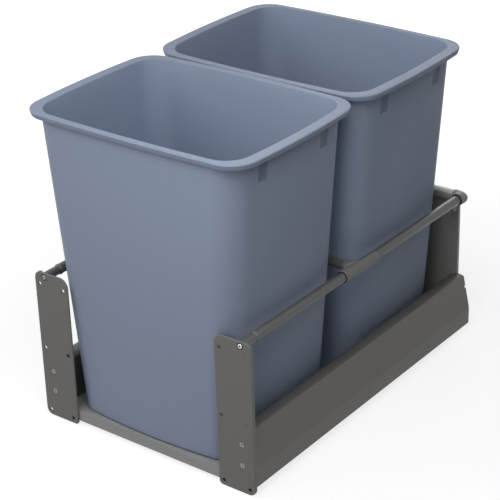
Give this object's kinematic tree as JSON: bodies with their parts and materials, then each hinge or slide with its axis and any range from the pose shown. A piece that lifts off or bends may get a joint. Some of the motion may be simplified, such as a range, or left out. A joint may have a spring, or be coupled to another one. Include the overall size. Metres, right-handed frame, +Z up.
{
  "type": "pull-out bin frame",
  "caption": "Low steel drawer frame with rails on hidden full-extension runners, door brackets and tapered waste bins that lift out.",
  "frame": {"origin": "on the cabinet floor, under the middle of the closed frame with its bins", "axes": "+Z up, -Y towards the door and the user, +X to the user's right"},
  "size_m": [0.365, 0.55, 0.4603],
  "materials": {
    "grey_steel": "satin grey powder coat",
    "grey_plastic": "smooth moulded grey",
    "bin_plastic": "fine matt moulding, blue grey",
    "grey_board": "grey melamine face and edge",
    "cast_block": "as cast",
    "zinc_steel": "bright zinc plate",
    "bright_fasteners": "zinc plated",
    "black_plastic": "moulded black",
    "roller_steel": "ground"
  },
  "bodies": {
    "cabinet_runners": {"cabinet_channel_left": "zinc_steel", "cabinet_channel_right": "zinc_steel", "front_foot_left": "zinc_steel", "front_foot_right": "zinc_steel", "back_foot_left": "zinc_steel", "back_foot_right": "zinc_steel", "foot_screws_left": "bright_fasteners", "foot_screws_right": "bright_fasteners"},
    "pull_out_frame": {"door_bracket_left": "grey_steel", "door_bracket_right": "grey_steel", "drawer_side_left": "grey_steel", "drawer_side_right": "grey_steel", "gallery_rail_left": "grey_steel", "gallery_rail_right": "grey_steel", "cross_rail": "grey_steel", "back_rail": "grey_steel", "back_panel": "grey_steel", "back_upright_left": "grey_steel", "back_upright_right": "grey_steel", "cross_rail_connector_left": "grey_plastic", "cross_rail_connector_right": "grey_plastic", "back_corner_left": "grey_plastic", "back_corner_right": "grey_plastic", "rail_front_fitting_left": "grey_plastic", "rail_front_fitting_right": "grey_plastic", "base_board": "grey_board", "fixing_block_left": "cast_block", "fixing_block_right": "cast_block", "drawer_channel_left": "zinc_steel", "drawer_channel_right": "zinc_steel", "bracket_screws_left": "bright_fasteners", "bracket_screws_right": "bright_fasteners", "rail_screw_left": "bright_fasteners", "rail_screw_right": "bright_fasteners", "base_screws": "bright_fasteners", "back_panel_screws_left": "bright_fasteners", "back_panel_screws_right": "bright_fasteners", "channel_rivets_left": "bright_fasteners", "channel_rivets_right": "bright_fasteners", "side_rivets_left": "bright_fasteners", "side_rivets_right": "bright_fasteners"},
    "left_middle_slide": {"middle_channel_left": "zinc_steel"},
    "left_outer_cage": {"outer_cage_left": "black_plastic", "outer_rollers_left": "roller_steel"},
    "left_inner_cage": {"inner_cage_left": "black_plastic", "inner_rollers_left": "roller_steel"},
    "right_middle_slide": {"middle_channel_right": "zinc_steel"},
    "right_outer_cage": {"outer_cage_right": "black_plastic", "outer_rollers_right": "roller_steel"},
    "right_inner_cage": {"inner_cage_right": "black_plastic", "inner_rollers_right": "roller_steel"},
    "front_bin": {"front_bin": "bin_plastic"},
    "rear_bin": {"rear_bin": "bin_plastic"}
  },
  "joints": [
    {"name": "drawer_slide", "type": "slide", "parent": "cabinet_runners", "child": "pull_out_frame", "axis": [0, -1, 0], "range_m": [0, 0.5]},
    {"name": "left_middle_slide_travel", "type": "slide", "parent": "cabinet_runners", "child": "left_middle_slide", "axis": [0, -1, 0], "range_m": [0, 0.25]},
    {"name": "left_outer_cage_travel", "type": "slide", "parent": "cabinet_runners", "child": "left_outer_cage", "axis": [0, -1, 0], "range_m": [0, 0.125]},
    {"name": "left_inner_cage_travel", "type": "slide", "parent": "cabinet_runners", "child": "left_inner_cage", "axis": [0, -1, 0], "range_m": [0, 0.375]},
    {"name": "right_middle_slide_travel", "type": "slide", "parent": "cabinet_runners", "child": "right_middle_slide", "axis": [0, -1, 0], "range_m": [0, 0.25]},
    {"name": "right_outer_cage_travel", "type": "slide", "parent": "cabinet_runners", "child": "right_outer_cage", "axis": [0, -1, 0], "range_m": [0, 0.125]},
    {"name": "right_inner_cage_travel", "type": "slide", "parent": "cabinet_runners", "child": "right_inner_cage", "axis": [0, -1, 0], "range_m": [0, 0.375]},
    {"name": "front_bin_lift", "type": "slide", "parent": "pull_out_frame", "child": "front_bin", "axis": [0, 0, 1], "range_m": [0, 0.25]},
    {"name": "rear_bin_lift", "type": "slide", "parent": "pull_out_frame", "child": "rear_bin", "axis": [0, 0, 1], "range_m": [0, 0.25]}
  ],
  "couplings": [
    {"joint": "left_middle_slide_travel", "follows": "drawer_slide", "ratio": 0.5},
    {"joint": "left_outer_cage_travel", "follows": "drawer_slide", "ratio": 0.25},
    {"joint": "left_inner_cage_travel", "follows": "drawer_slide", "ratio": 0.75},
    {"joint": "right_middle_slide_travel", "follows": "drawer_slide", "ratio": 0.5},
    {"joint": "right_outer_cage_travel", "follows": "drawer_slide", "ratio": 0.25},
    {"joint": "right_inner_cage_travel", "follows": "drawer_slide", "ratio": 0.75}
  ]
}
